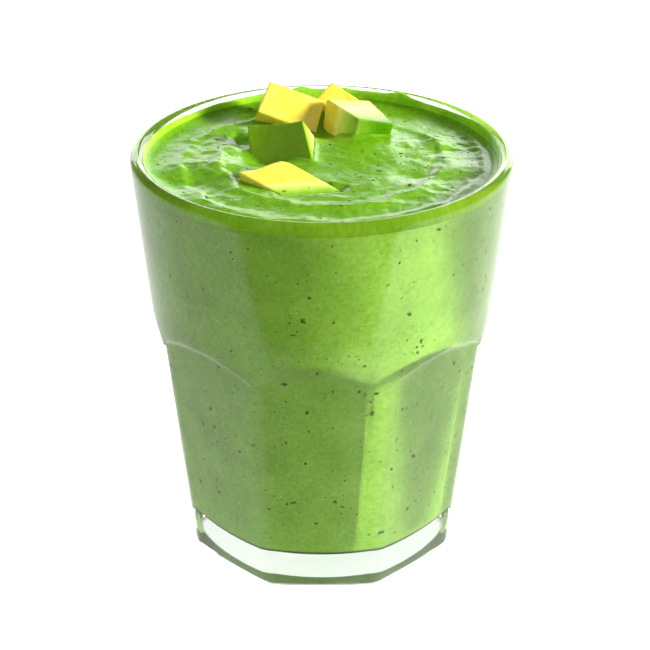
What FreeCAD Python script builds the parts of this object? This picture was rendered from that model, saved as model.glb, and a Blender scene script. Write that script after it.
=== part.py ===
import FreeCAD, Part
import math
import os

# Green smoothie in a pressed, eight-sided tumbler, with five pieces of avocado on top.
# Millimetres, +Z up.  The origin is the middle of the tumbler's foot, on the surface it stands on.
# Each piece is one solid: the tumbler, the drink that fills it, and the pieces of avocado.

# ---- tumbler: driving dimensions ---------------------------------------------------------
HEIGHT = 100.0            # foot to the crest of the rim
RIM_RADIUS = 43.9         # outside of the rim
RIM_WALL = 3.2            # thickness of the wall at the rim, which is fully rounded
BAND_SLOPE = 0.0975       # lean of the plain band above the panels, radius per height
PANELS = 8                # flat panels round the lower body
RIDGE_STEP = 0.21         # the ridges between panels lie this far inside the band where they leave it
RIDGE_SLOPE = 0.1156      # lean of the ridges, radius per height
PANEL_BOW = 0.5           # how far a panel's middle stands out of the plane of its ridges
ARCH_FOOT = 55.0          # height at which the arched panel heads leave the ridges
ARCH_RISE = 7.0           # from there up to the crown of an arch
ARCH_SHOULDER = 4.5       # radius of an arch's two round shoulders
SHOULDER_SHARE = 0.9      # at most this share of the arch's rise or half width goes to a shoulder
ARCH_OVERLAP = 0.3        # how far an arch's flanks pass the ridge, so that the ridge is one clean edge
SCOOP = 2.0               # hollow radius between a panel and the wall of its arch
CHAMFER_WIDTH = 0.9       # slanted edge where the panels meet the foot
CHAMFER_HEIGHT = 1.26
FLOOR = 8.0               # thickness of the glass under the drink
FOOT_WALL = 3.33          # thickness of the wall in the middle of a panel, level with the floor
BORE_CORNER = 5.0         # rounded corner between bore and floor
FOOT_RING = 6.1           # width of the ring that the tumbler stands on, in the middle of a panel
DIMPLE_DEPTH = 1.0        # shallow hollow inside that ring

# ---- drink -------------------------------------------------------------------------------
FILL_GAP = 3.3            # crest of the rim down to the mean level of the drink
MENISCUS_RISE = 0.9       # the drink climbs the wall by this much
MENISCUS_WIDTH = 1.6      # over about this distance from the wall
SWIRL_RIDGE = 0.75        # height of the spiral ridge left by pouring
SWIRL_MARGIN = 2.0        # distance from the wall at which the spiral begins
SWIRL_PITCH = 9.5         # radius that the spiral loses in one turn
SWIRL_WIDTH = 2.2         # half width of the ridge
SWIRL_TURNS = 2           # turns of the spiral
SWIRL_ANGLE = 30.0        # where it begins, anticlockwise from +X
SURFACE_STEP = 4.0        # spacing of the points that the drink's surface runs through

# ---- avocado -----------------------------------------------------------------------------
EDGE_ROUND = 0.35         # soft edges of the cut pieces
SKIN_HOLLOW_RADIUS = 42.0  # radius of the slightly hollow cut on the skin side

# ---- cutting -----------------------------------------------------------------------------
PASS = 10.0               # how far a cutting block passes what it cuts

# ---- derived sizes -----------------------------------------------------------------------
ROLL = RIM_WALL / 2.0
ROLL_HEIGHT = HEIGHT - ROLL
HALF_PANEL = math.pi / PANELS
LEVEL = HEIGHT - FILL_GAP
ARCH_CROWN = ARCH_FOOT + ARCH_RISE
UP = FreeCAD.Vector(0, 0, 1)
ORIGIN = FreeCAD.Vector(0, 0, 0)


def band_radius(height):
    """Outside radius of the plain band, carried on to any height."""
    return RIM_RADIUS - BAND_SLOPE * (ROLL_HEIGHT - height)


def ridge_radius(height):
    """Axis to a ridge between two panels."""
    return band_radius(ARCH_FOOT) - RIDGE_STEP - RIDGE_SLOPE * (ARCH_FOOT - height)


def panel_radius(height):
    """Axis to the middle of a panel."""
    return ridge_radius(height) * math.cos(HALF_PANEL) + PANEL_BOW


BORE_FOOT_RADIUS = panel_radius(FLOOR) - FOOT_WALL  # that the straight bore would have at the floor
BORE_RIM_RADIUS = RIM_RADIUS - RIM_WALL
BORE_SLOPE = (BORE_RIM_RADIUS - BORE_FOOT_RADIUS) / (ROLL_HEIGHT - FLOOR)
DIMPLE_RADIUS = panel_radius(0) - FOOT_RING


def bore_radius(height):
    """Inside radius of the straight bore."""
    return BORE_FOOT_RADIUS + BORE_SLOPE * (height - FLOOR)


REACH = bore_radius(LEVEL)  # radius of the drink's surface


def side(points):
    """Closed wire through (radius, height) points in the XZ plane."""
    corners = [FreeCAD.Vector(radius, 0, height) for radius, height in points]
    return Part.makePolygon(corners + corners[:1])


def turned(wire, angle=360.0, axis_at=ORIGIN):
    """Solid of revolution of a closed wire about a vertical line."""
    return Part.Face(wire).revolve(axis_at, UP, angle)


def bore_corner():
    """Start, middle and end of the round corner between the floor and the bore."""
    lean = math.atan(BORE_SLOPE)
    centre_height = FLOOR + BORE_CORNER
    centre_radius = bore_radius(centre_height) - BORE_CORNER / math.cos(lean)
    half_turn = (math.pi / 2 - lean) / 2

    def on_corner(below):
        return FreeCAD.Vector(centre_radius + BORE_CORNER * math.cos(below), 0,
                              centre_height - BORE_CORNER * math.sin(below))

    return on_corner(math.pi / 2), on_corner(math.pi / 2 - half_turn), on_corner(lean)


def bore_edges(top):
    """Edges of the bore's outline from the axis at the floor out and up to a height."""
    on_floor, mid, on_wall = bore_corner()
    return [
        Part.LineSegment(FreeCAD.Vector(0, 0, FLOOR), on_floor).toShape(),
        Part.Arc(on_floor, mid, on_wall).toShape(),
        Part.LineSegment(on_wall, FreeCAD.Vector(bore_radius(top), 0, top)).toShape(),
    ]


def tumbler_blank():
    """Round tumbler before its panels are pressed: plain band, rounded rim, bore and dimple."""
    inner = bore_edges(ROLL_HEIGHT)
    inside_top = inner[-1].Vertexes[-1].Point
    outside_top = FreeCAD.Vector(RIM_RADIUS, 0, ROLL_HEIGHT)
    crest = FreeCAD.Vector(RIM_RADIUS - ROLL, 0, HEIGHT)
    foot = FreeCAD.Vector(band_radius(0), 0, 0)
    dimple_edge = FreeCAD.Vector(DIMPLE_RADIUS, 0, 0)
    ball = (DIMPLE_RADIUS ** 2 + DIMPLE_DEPTH ** 2) / (2 * DIMPLE_DEPTH)
    dimple_mid_height = DIMPLE_DEPTH - ball + math.sqrt(ball ** 2 - DIMPLE_RADIUS ** 2 / 4)
    dimple_mid = FreeCAD.Vector(DIMPLE_RADIUS / 2, 0, dimple_mid_height)
    dimple_top = FreeCAD.Vector(0, 0, DIMPLE_DEPTH)
    edges = inner + [
        Part.Arc(inside_top, crest, outside_top).toShape(),
        Part.LineSegment(outside_top, foot).toShape(),
        Part.LineSegment(foot, dimple_edge).toShape(),
        Part.Arc(dimple_edge, dimple_mid, dimple_top).toShape(),
        Part.LineSegment(dimple_top, FreeCAD.Vector(0, 0, FLOOR)).toShape(),
    ]
    return turned(Part.Wire(edges))


def arch_half_width():
    """Middle of an arched panel to one of its flanks."""
    return band_radius(ARCH_FOOT) * math.sin(HALF_PANEL) + ARCH_OVERLAP


def arch_outline():
    """Closed wire of an arched panel: two flanks, two round shoulders and a crown, all tangent."""
    half_width = arch_half_width()
    shoulder = min(ARCH_SHOULDER, SHOULDER_SHARE * min(ARCH_RISE, half_width))
    inward = half_width - shoulder
    crown_radius = (inward ** 2 + ARCH_RISE ** 2 - shoulder ** 2) / (2 * (ARCH_RISE - shoulder))
    crown_centre = ARCH_CROWN - crown_radius
    tangent = math.atan2(ARCH_FOOT - crown_centre, inward)
    low = -PASS

    def on_shoulder(angle, hand):
        return FreeCAD.Vector(0, hand * (inward + shoulder * math.cos(angle)),
                              ARCH_FOOT + shoulder * math.sin(angle))

    def shoulder_arc(hand):
        points = [on_shoulder(angle, hand) for angle in (0, tangent / 2, tangent)]
        return Part.Arc(*points).toShape()

    left_low = FreeCAD.Vector(0, -half_width, low)
    right_low = FreeCAD.Vector(0, half_width, low)
    crown = FreeCAD.Vector(0, 0, ARCH_CROWN)
    edges = [
        Part.LineSegment(left_low, on_shoulder(0, -1)).toShape(),
        shoulder_arc(-1),
        Part.Arc(on_shoulder(tangent, -1), crown, on_shoulder(tangent, 1)).toShape(),
        shoulder_arc(1),
        Part.LineSegment(on_shoulder(0, 1), right_low).toShape(),
        Part.LineSegment(right_low, left_low).toShape(),
    ]
    return Part.Wire(Part.sortEdges(edges)[0])


def panel_cutter():
    """What one panel takes away, at +X: an arched recess with a bowed floor and a hollow edge."""
    outside = RIM_RADIUS + PASS
    top = ARCH_CROWN + PASS
    below = -PASS
    half_width = ridge_radius(0) * math.sin(HALF_PANEL)
    bow_radius = (half_width ** 2 + PANEL_BOW ** 2) / (2 * PANEL_BOW)
    profile = side([
        (panel_radius(0) - CHAMFER_WIDTH, below),
        (panel_radius(0) - CHAMFER_WIDTH, 0),
        (panel_radius(CHAMFER_HEIGHT), CHAMFER_HEIGHT),
        (panel_radius(top), top),
        (outside, top),
        (outside, below),
    ])
    span = 2 * math.degrees(math.asin((arch_half_width() + PASS) / bow_radius))
    axis_at = FreeCAD.Vector(panel_radius(0) - bow_radius, 0, 0)
    profile.rotate(axis_at, UP, -span / 2)
    bowed = turned(profile, span, axis_at)
    prism = Part.Face(arch_outline()).extrude(FreeCAD.Vector(outside + PASS, 0, 0))
    return scooped(bowed.common(prism))


def scooped(cutter):
    """Round the cutter's edge along the head of the arch, where it meets the panel."""
    reach = panel_radius(ARCH_CROWN) + SCOOP
    head = []
    for edge in cutter.Edges:
        box = edge.BoundBox
        if box.ZMax > ARCH_FOOT and box.ZMin > ARCH_FOOT - ARCH_SHOULDER and box.XMax < reach:
            head.append(edge)
    return cutter.makeFillet(SCOOP, head)


def tumbler():
    """Pressed glass tumbler with eight arched panels."""
    body = tumbler_blank()
    cutter = panel_cutter()
    for panel in range(PANELS):
        # one panel faces straight to the front, which is -Y
        turn = -90.0 + panel * 360.0 / PANELS
        placed = cutter.copy()
        placed.rotate(ORIGIN, UP, turn)
        body = body.cut(placed)
    return body.removeSplitter()


def bump(x, y, share, size, height):
    """Smooth round hill, or a hollow where the height is negative."""
    away = ((x - share[0] * REACH) ** 2 + (y - share[1] * REACH) ** 2) / size ** 2
    return height * math.exp(-away)


# Hills and hollows of the drink: middle as shares of the bore's radius, size and height.
MOUNDS = [
    ((-0.60, -0.08), 6.5, 1.3),    # torn mound beside the front pieces
    ((-0.77, -0.34), 5.5, -0.9),   # crescent hollow before it
    ((-0.46, 0.30), 4.0, -1.2),    # hollow at the left of the piece with skin side
    ((-0.41, 0.72), 3.5, -0.9),    # hollow under the back piece
    ((0.25, -0.02), 9.0, 0.7),     # smooth hill at the right of the pieces
    ((0.67, 0.30), 4.5, 0.6),
    ((0.82, -0.10), 4.0, 0.5),
    ((0.50, -0.22), 4.0, -0.4),
]


def spiral(x, y):
    """Height of the spiral ridge at a place."""
    radius = math.hypot(x, y)
    around = (math.atan2(y, x) - math.radians(SWIRL_ANGLE)) % (2 * math.pi)
    height = 0.0
    for turn in range(SWIRL_TURNS + 1):
        # the ridge runs clockwise and inwards from the right-hand side
        progress = turn + 1 - around / (2 * math.pi)
        if progress > SWIRL_TURNS:
            continue
        away = radius - (REACH - SWIRL_MARGIN - SWIRL_PITCH * progress)
        height += SWIRL_RIDGE * math.exp(-(away / SWIRL_WIDTH) ** 2)
    return height


def surface_height(x, y):
    """Height of the drink's surface."""
    from_wall = max(REACH - math.hypot(x, y), 0.0)
    height = LEVEL + MENISCUS_RISE * math.exp(-from_wall / MENISCUS_WIDTH)
    fade = 1.0 - math.exp(-(from_wall / (2 * MENISCUS_WIDTH)) ** 2)
    relief = spiral(x, y)
    for share, size, rise in MOUNDS:
        relief += bump(x, y, share, size, rise)
    return height + relief * fade


def air_above():
    """Everything above the drink's surface, as one block."""
    reach = RIM_RADIUS + PASS / 2
    count = int(2 * reach / SURFACE_STEP) + 1
    step = 2 * reach / (count - 1)
    rows = []
    for i in range(count):
        x = -reach + i * step
        row = []
        for j in range(count):
            y = -reach + j * step
            row.append(FreeCAD.Vector(x, y, surface_height(x, y)))
        rows.append(row)
    surface = Part.BSplineSurface()
    surface.interpolate(rows)
    return surface.toShape().extrude(FreeCAD.Vector(0, 0, FILL_GAP + PASS))


def largest(shape):
    """The largest solid of a shape that a cut may have divided."""
    return max(shape.Solids, key=lambda solid: solid.Volume)


def drink(pieces):
    """Smoothie that fills the bore up to its swirled surface, cut round the avocado."""
    edges = bore_edges(HEIGHT)
    wall_top = edges[-1].Vertexes[-1].Point
    axis_top = FreeCAD.Vector(0, 0, HEIGHT)
    edges.append(Part.LineSegment(wall_top, axis_top).toShape())
    edges.append(Part.LineSegment(axis_top, FreeCAD.Vector(0, 0, FLOOR)).toShape())
    body = turned(Part.Wire(edges)).cut(air_above())
    for piece in pieces:
        body = body.cut(piece)
    return largest(body)


def chunk(outline, depth, narrowing, hollow=False):
    """Cut piece of avocado.

    The outline is the face seen first, in the local XZ plane; the piece runs back along +Y and its
    back is smaller by the narrowing.  A hollow piece has a gently hollow first face.
    """
    front = [FreeCAD.Vector(x, 0, z) for x, z in outline]
    back = [FreeCAD.Vector(x * narrowing, depth, z * narrowing) for x, z in outline]
    wires = [Part.makePolygon(ring + ring[:1]) for ring in (front, back)]
    piece = Part.makeLoft(wires, True, True)
    piece = piece.makeFillet(EDGE_ROUND, piece.Edges)
    if hollow:
        width = max(x for x, z in outline) - min(x for x, z in outline)
        sink = SKIN_HOLLOW_RADIUS - math.sqrt(SKIN_HOLLOW_RADIUS ** 2 - width ** 2 / 4)
        roller = Part.makeCylinder(SKIN_HOLLOW_RADIUS, 4 * width, FreeCAD.Vector(0, 0, -2 * width))
        roller.translate(FreeCAD.Vector(0, sink - SKIN_HOLLOW_RADIUS, 0))
        piece = piece.cut(roller)
    return piece


def placed(piece, turn, share, above):
    """Turn a piece about X, Y and Z in that order, then set it down.

    The place is a share of the bore's radius along X and Y, and a height above the drink's level.
    """
    for axis, angle in zip((FreeCAD.Vector(1, 0, 0), FreeCAD.Vector(0, 1, 0), UP), turn):
        piece.rotate(ORIGIN, axis, angle)
    piece.translate(FreeCAD.Vector(share[0] * REACH, share[1] * REACH, LEVEL + above))
    return piece


def avocado():
    """The five pieces by name, each trimmed where it would run into an earlier one."""
    wanted = {
        "avocado_back": placed(
            chunk([(-7.0, 4.5), (7.0, 4.5), (7.5, -4.5), (-7.5, -4.5)], depth=9.0, narrowing=0.95),
            turn=(-48.0, 20.3, -3.9), share=(-0.176, 0.590), above=4.5),
        "avocado_skin_side": placed(
            chunk([(-9.0, 4.1), (4.4, 6.9), (11.2, -4.6), (-5.6, -5.2)], depth=9.0, narrowing=0.97,
                  hollow=True),
            turn=(-44.0, -4.0, -26.0), share=(-0.262, 0.154), above=1.9),
        "avocado_right": placed(
            chunk([(-6.2, 6.6), (7.3, 7.7), (3.1, -9.6), (-5.7, -6.8)], depth=8.0, narrowing=0.92),
            turn=(-87.3, 14.0, 32.0), share=(0.238, 0.545), above=4.4),
        "avocado_tip": placed(
            chunk([(-0.5, 2.4), (6.0, -2.6), (1.6, -7.4), (-4.6, -2.6)], depth=6.5, narrowing=0.9),
            turn=(-50.0, 0.0, 0.0), share=(0.074, 0.781), above=5.9),
        "avocado_sunk": placed(
            chunk([(-11.6, -0.3), (-7.3, 1.3), (-1.9, 5.5), (0.2, 5.0), (12.3, -4.8), (-1.4, -8.2)],
                  depth=5.0, narrowing=0.9),
            turn=(-78.0, 5.0, 0.0), share=(-0.186, -0.273), above=1.3),
    }
    pieces = {}
    for name, piece in wanted.items():
        for earlier in pieces.values():
            piece = piece.cut(earlier)
        pieces[name] = largest(piece)
    return pieces


def main():
    """Build every piece and write one STEP file for each."""
    os.makedirs("parts", exist_ok=True)
    nodes = avocado()
    nodes["smoothie"] = drink(list(nodes.values()))
    nodes["tumbler"] = tumbler()
    for name, shape in nodes.items():
        shape.exportStep("parts/" + name + ".step")
        box = shape.BoundBox
        print(name, "solids", len(shape.Solids), "valid", shape.isValid(),
              "volume cm3", round(shape.Volume / 1000.0, 2), "top", round(box.ZMax, 2))


main()
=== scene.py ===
"""Green smoothie in a pressed, eight-sided tumbler, with five pieces of avocado on top.

The solid model is the fixed frame.  Sizes are in millimetres, and every mesh is made in metres, in that
frame: +Z up, the origin in the middle of the foot, -Y towards the front.
"""

import sys

import logging
import math
import random
from collections.abc import Iterable
from dataclasses import dataclass, field, replace
from enum import Enum

import bpy
import numpy as np
from mathutils import Matrix, Vector, noise
from mathutils.bvhtree import BVHTree


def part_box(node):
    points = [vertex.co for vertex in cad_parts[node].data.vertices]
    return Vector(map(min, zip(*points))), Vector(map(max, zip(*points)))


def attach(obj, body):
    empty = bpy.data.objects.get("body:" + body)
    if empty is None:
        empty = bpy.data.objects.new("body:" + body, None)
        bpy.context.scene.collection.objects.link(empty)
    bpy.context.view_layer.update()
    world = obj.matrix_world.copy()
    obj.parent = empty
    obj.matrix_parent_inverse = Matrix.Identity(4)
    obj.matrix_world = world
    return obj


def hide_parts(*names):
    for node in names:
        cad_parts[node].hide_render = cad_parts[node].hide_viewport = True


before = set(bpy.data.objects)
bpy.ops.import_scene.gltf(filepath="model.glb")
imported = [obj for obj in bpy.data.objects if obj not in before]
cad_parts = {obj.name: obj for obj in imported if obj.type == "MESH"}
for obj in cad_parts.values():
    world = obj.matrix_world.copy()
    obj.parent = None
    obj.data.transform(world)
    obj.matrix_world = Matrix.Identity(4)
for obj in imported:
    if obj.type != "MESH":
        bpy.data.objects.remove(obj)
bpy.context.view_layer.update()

log = logging.getLogger("green_smoothie")

MM = 0.001
BODY = "root"
SEAM = 1e-7  # vertices nearer than this, in metres, are one

Socket = bpy.types.NodeSocket
Ring = tuple[np.ndarray, np.ndarray, np.ndarray]


class Slot(Enum):
    """Material slots of the record."""

    GLASS = "clear_glass"
    DRINK = "green_smoothie"
    AVOCADO = "avocado_flesh"


# ---- small tools ------------------------------------------------------------------------------------


def linear(code: str) -> tuple[float, float, float, float]:
    """Linear colour of an sRGB code.

    Args:
        code: Six hexadecimal digits.

    Returns:
        Red, green, blue and an alpha of 1, all linear.
    """
    shares = [int(code[i : i + 2], 16) / 255 for i in (0, 2, 4)]
    red, green, blue = (s / 12.92 if s <= 0.04045 else ((s + 0.055) / 1.055) ** 2.4 for s in shares)
    return (red, green, blue, 1.0)


def unselect() -> None:
    """Leave edit mode and deselect every object."""
    if bpy.context.object is not None and bpy.context.object.mode != "OBJECT":
        bpy.ops.object.mode_set(mode="OBJECT")
    bpy.ops.object.select_all(action="DESELECT")


def take(obj: bpy.types.Object) -> None:
    """Make one object the only selected one, and active.

    Args:
        obj: The object.
    """
    unselect()
    obj.select_set(True)
    bpy.context.view_layer.objects.active = obj


def read_points(mesh: bpy.types.Mesh) -> np.ndarray:
    """The points of a mesh.

    Args:
        mesh: The mesh.

    Returns:
        Rows of x, y and z in metres.
    """
    flat = np.empty(len(mesh.vertices) * 3)
    mesh.vertices.foreach_get("co", flat)
    return flat.reshape(-1, 3)


def write_points(mesh: bpy.types.Mesh, points: np.ndarray) -> None:
    """Move the mesh's points to the rows of x, y and z."""
    mesh.vertices.foreach_set("co", points.astype(np.float32).ravel())
    mesh.update()


def close_up(obj: bpy.types.Object) -> None:
    """Merge the seams and poles of a mesh and turn its faces outwards.

    Args:
        obj: The object with the mesh.
    """
    take(obj)
    bpy.ops.object.mode_set(mode="EDIT")
    bpy.ops.mesh.select_all(action="SELECT")
    bpy.ops.mesh.remove_doubles(threshold=SEAM)
    bpy.ops.mesh.normals_make_consistent(inside=False)
    bpy.ops.object.mode_set(mode="OBJECT")
    bpy.ops.object.shade_smooth()


def rolled(name: str, stations: np.ndarray) -> bpy.types.Object:
    """Closed skin through rings of points: a flat grid, rolled up and merged at its seams.

    Args:
        name: Name of the new object.
        stations: Rings of points in millimetres, of the shape (rings, points in a ring, 3).  The rings
            are open; the first point follows the last.

    Returns:
        The new object.
    """
    rings, columns = stations.shape[:2]
    unselect()
    bpy.ops.mesh.primitive_grid_add(x_subdivisions=columns, y_subdivisions=rings - 1, size=2.0)
    obj = bpy.context.object
    obj.name = obj.data.name = name
    flat = read_points(obj.data)
    column = np.rint((flat[:, 0] + 1) / 2 * columns).astype(int) % columns
    ring = np.rint((flat[:, 1] + 1) / 2 * (rings - 1)).astype(int)
    write_points(obj.data, stations[ring, column] * MM)
    close_up(obj)
    return obj


def blurred(x: np.ndarray, y: np.ndarray, scale: float, layer: float) -> np.ndarray:
    """Smooth noise between about -1 and 1 at places in millimetres.

    Args:
        x: Places along X.
        y: Places along Y.
        scale: Size of a lump.
        layer: Any number; each gives a pattern of its own.

    Returns:
        The noise at each place.
    """
    pairs = zip(np.ravel(x) / scale, np.ravel(y) / scale)
    values = [noise.noise(Vector((a, b, layer))) for a, b in pairs]
    return np.array(values).reshape(np.shape(x))


def shape_of(node: str) -> BVHTree:
    """Search tree of a solid's faces, in metres."""
    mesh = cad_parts[node].data
    return BVHTree.FromPolygons([v.co for v in mesh.vertices], [f.vertices for f in mesh.polygons])


def hand_over(obj: bpy.types.Object, slot: Slot, *nodes: str) -> None:
    """Let a finished piece ride on the body, name its slot and the solids it stands for.

    Args:
        obj: The piece.
        slot: The record's material slot.
        *nodes: Solids that the piece replaces.
    """
    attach(obj, BODY)
    if nodes:
        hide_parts(*nodes)
    faces = len(obj.data.polygons)
    log.info("%s: %d faces, slot %s, stands for %s", obj.name, faces, slot.value, nodes or "nothing")


def scattered(name: str, seed_piece: bpy.types.Object, places: Iterable[Matrix]) -> bpy.types.Object:
    """One mesh with a copy of a small seed piece at every place.

    Args:
        name: Name of the new object.
        seed_piece: The piece that repeats, which is removed.
        places: Matrices, in metres.

    Returns:
        The new object, with the seed's materials.
    """
    source = seed_piece.data
    local = np.c_[read_points(source), np.ones(len(source.vertices))]
    faces = [tuple(face.vertices) for face in source.polygons]
    slots = [face.material_index for face in source.polygons]
    points: list[np.ndarray] = []
    loops: list[tuple[int, ...]] = []
    chosen: list[int] = []
    for count, place in enumerate(places):
        points.append((local @ np.array(place).T)[:, :3])
        start = count * len(local)
        loops.extend(tuple(start + index for index in face) for face in faces)
        chosen.extend(slots)
    mesh = bpy.data.meshes.new(name)
    mesh.from_pydata(np.concatenate(points).tolist(), [], loops)
    for material in source.materials:
        mesh.materials.append(material)
    mesh.polygons.foreach_set("material_index", chosen)
    obj = bpy.data.objects.new(name, mesh)
    bpy.context.scene.collection.objects.link(obj)
    bpy.data.objects.remove(seed_piece)
    take(obj)
    bpy.ops.object.shade_smooth()
    return obj


# ---- sizes ------------------------------------------------------------------------------------------


@dataclass(frozen=True)
class TumblerSizes:
    """Driving sizes of the tumbler in millimetres, as the solid model has them."""

    height: float = 100.0
    rim_radius: float = 43.9
    rim_wall: float = 3.2
    band_slope: float = 0.0975
    panels: int = 8
    ridge_step: float = 0.21
    ridge_slope: float = 0.1156
    panel_bow: float = 0.5
    arch_foot: float = 55.0
    arch_rise: float = 7.0
    arch_shoulder: float = 4.5
    arch_overlap: float = 0.3
    scoop: float = 2.0
    chamfer_width: float = 0.9
    chamfer_height: float = 1.26
    floor: float = 8.0
    foot_wall: float = 3.33
    bore_corner: float = 5.0
    foot_ring: float = 6.1
    dimple_depth: float = 1.0
    fill_gap: float = 3.3

    @property
    def roll(self) -> float:
        """Radius of the rounded rim."""
        return self.rim_wall / 2

    @property
    def roll_height(self) -> float:
        """Height of the middle of the rounded rim."""
        return self.height - self.roll

    @property
    def level(self) -> float:
        """Mean height of the drink."""
        return self.height - self.fill_gap

    @property
    def half_panel(self) -> float:
        """Half the angle of a panel, in radians."""
        return math.pi / self.panels

    @property
    def reach(self) -> float:
        """Radius of the drink's surface."""
        return self.bore_radius(self.level)

    @property
    def bore_slope(self) -> float:
        """Lean of the bore, radius per height."""
        rim_bore = self.rim_radius - self.rim_wall
        return (rim_bore - self.bore_foot_radius) / (self.roll_height - self.floor)

    @property
    def bore_foot_radius(self) -> float:
        """Radius that the straight bore would have at the floor."""
        return self.panel_radius(self.floor) - self.foot_wall

    @property
    def dimple_radius(self) -> float:
        """Radius of the hollow under the foot."""
        return self.panel_radius(0.0) - self.foot_ring

    def band_radius(self, height: float | np.ndarray) -> float | np.ndarray:
        """Outside radius of the plain band, carried on to any height."""
        return self.rim_radius - self.band_slope * (self.roll_height - height)

    def ridge_radius(self, height: float | np.ndarray) -> float | np.ndarray:
        """Axis to a ridge between two panels."""
        at_arch = self.band_radius(self.arch_foot) - self.ridge_step
        return at_arch - self.ridge_slope * (self.arch_foot - height)

    def panel_radius(self, height: float | np.ndarray) -> float | np.ndarray:
        """Axis to the middle of a panel."""
        return self.ridge_radius(height) * math.cos(self.half_panel) + self.panel_bow

    def bore_radius(self, height: float | np.ndarray) -> float | np.ndarray:
        """Inside radius of the straight bore."""
        return self.bore_foot_radius + self.bore_slope * (height - self.floor)


SIZES = TumblerSizes()


# ---- finishes ---------------------------------------------------------------------------------------

WHITE = "ffffff"


class Recipe:
    """A material under construction: its node tree, its shader and short ways to add nodes."""

    def __init__(self, name: str) -> None:
        """Start a material with a Principled shader.

        Args:
            name: Name of the material.
        """
        self.material = bpy.data.materials.new(name)
        self.material.use_nodes = True
        self.tree = self.material.node_tree
        self.shader = next(n for n in self.tree.nodes if n.type == "BSDF_PRINCIPLED")
        self.place = self.add("ShaderNodeTexCoord").outputs["Object"]

    def add(self, kind: str, **settings: object) -> bpy.types.Node:
        """Add a node.

        Args:
            kind: Its type.
            **settings: Values of its own settings.

        Returns:
            The new node.
        """
        node = self.tree.nodes.new(kind)
        for key, value in settings.items():
            setattr(node, key, value)
        return node

    def join(self, source: Socket, target: Socket) -> None:
        """Link one socket to another."""
        self.tree.links.new(source, target)

    def set(self, **values: float | tuple[float, ...]) -> None:
        """Set plain values on the shader's own sockets."""
        for key, value in values.items():
            self.shader.inputs[key.replace("_", " ")].default_value = value

    def grain(self, size: float, detail: float = 2.0, rough: float = 0.5) -> Socket:
        """Noise whose lumps are about this many millimetres across.

        Args:
            size: Size of a lump.
            detail: How many finer layers it has.
            rough: How strong these are.

        Returns:
            The noise's factor.
        """
        node = self.add("ShaderNodeTexNoise")
        node.inputs["Scale"].default_value = 1 / (size * MM)
        node.inputs["Detail"].default_value = detail
        node.inputs["Roughness"].default_value = rough
        self.join(self.place, node.inputs["Vector"])
        return node.outputs["Fac"]

    def ramp(self, source: Socket, stops: list[tuple[float, tuple[float, ...]]]) -> Socket:
        """Colours by a factor.

        Args:
            source: The factor.
            stops: Places from 0 to 1 with their linear colours.

        Returns:
            The colour.
        """
        node = self.add("ShaderNodeValToRGB")
        elements = node.color_ramp.elements
        while len(elements) < len(stops):
            elements.new(1.0)
        for element, (position, shade) in zip(elements, stops):
            element.position = position
            element.color = shade
        self.join(source, node.inputs["Fac"])
        return node.outputs["Color"]

    def blend(
        self,
        share: Socket | float,
        first: Socket | tuple[float, ...],
        second: Socket | tuple[float, ...],
        way: str = "MIX",
    ) -> Socket:
        """Two colours mixed.

        Args:
            share: How much of the second.
            first: A colour or a socket.
            second: A colour or a socket.
            way: How they are mixed.

        Returns:
            The mixed colour.
        """
        node = self.add("ShaderNodeMix", data_type="RGBA", blend_type=way)
        for key, value in ((0, share), (6, first), (7, second)):
            if isinstance(value, Socket):
                self.join(value, node.inputs[key])
            else:
                node.inputs[key].default_value = value
        return node.outputs[2]

    def figure(self, way: str, first: Socket | float, second: Socket | float) -> Socket:
        """One step of arithmetic.

        Args:
            way: The operation.
            first: A value or a socket.
            second: A value or a socket.

        Returns:
            The result.
        """
        node = self.add("ShaderNodeMath", operation=way)
        for key, value in enumerate((first, second)):
            if isinstance(value, Socket):
                self.join(value, node.inputs[key])
            else:
                node.inputs[key].default_value = value
        return node.outputs[0]

    def along(self, direction: Vector, start: float, width: float) -> Socket:
        """How far a place lies along a direction, from 0 at the start to 1 after the width.

        Args:
            direction: The direction, of length 1.
            start: Distance of the start from the origin along it, in millimetres.
            width: Width of the change, in millimetres.

        Returns:
            The share, held between 0 and 1.
        """
        dot = self.add("ShaderNodeVectorMath", operation="DOT_PRODUCT")
        self.join(self.place, dot.inputs[0])
        dot.inputs[1].default_value = direction
        span = self.add("ShaderNodeMapRange")
        span.inputs["From Min"].default_value = start * MM
        span.inputs["From Max"].default_value = (start + width) * MM
        self.join(dot.outputs["Value"], span.inputs["Value"])
        return span.outputs["Result"]

    def relief(self, source: Socket, depth: float) -> None:
        """Bump the surface by a factor.

        Args:
            source: The height from 0 to 1.
            depth: Depth in millimetres from 0 to 1.
        """
        bump = self.add("ShaderNodeBump")
        bump.inputs["Distance"].default_value = depth * MM
        bump.inputs["Strength"].default_value = 1.0
        self.join(source, bump.inputs["Height"])
        self.join(bump.outputs["Normal"], self.shader.inputs["Normal"])

    def paint(self, shade: Socket) -> None:
        """Use a colour as the surface's own."""
        self.join(shade, self.shader.inputs["Base Color"])

    def give_off(self, shade: Socket) -> None:
        """Use a colour for the light that the surface gives off."""
        self.join(shade, self.shader.inputs["Emission Color"])


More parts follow.
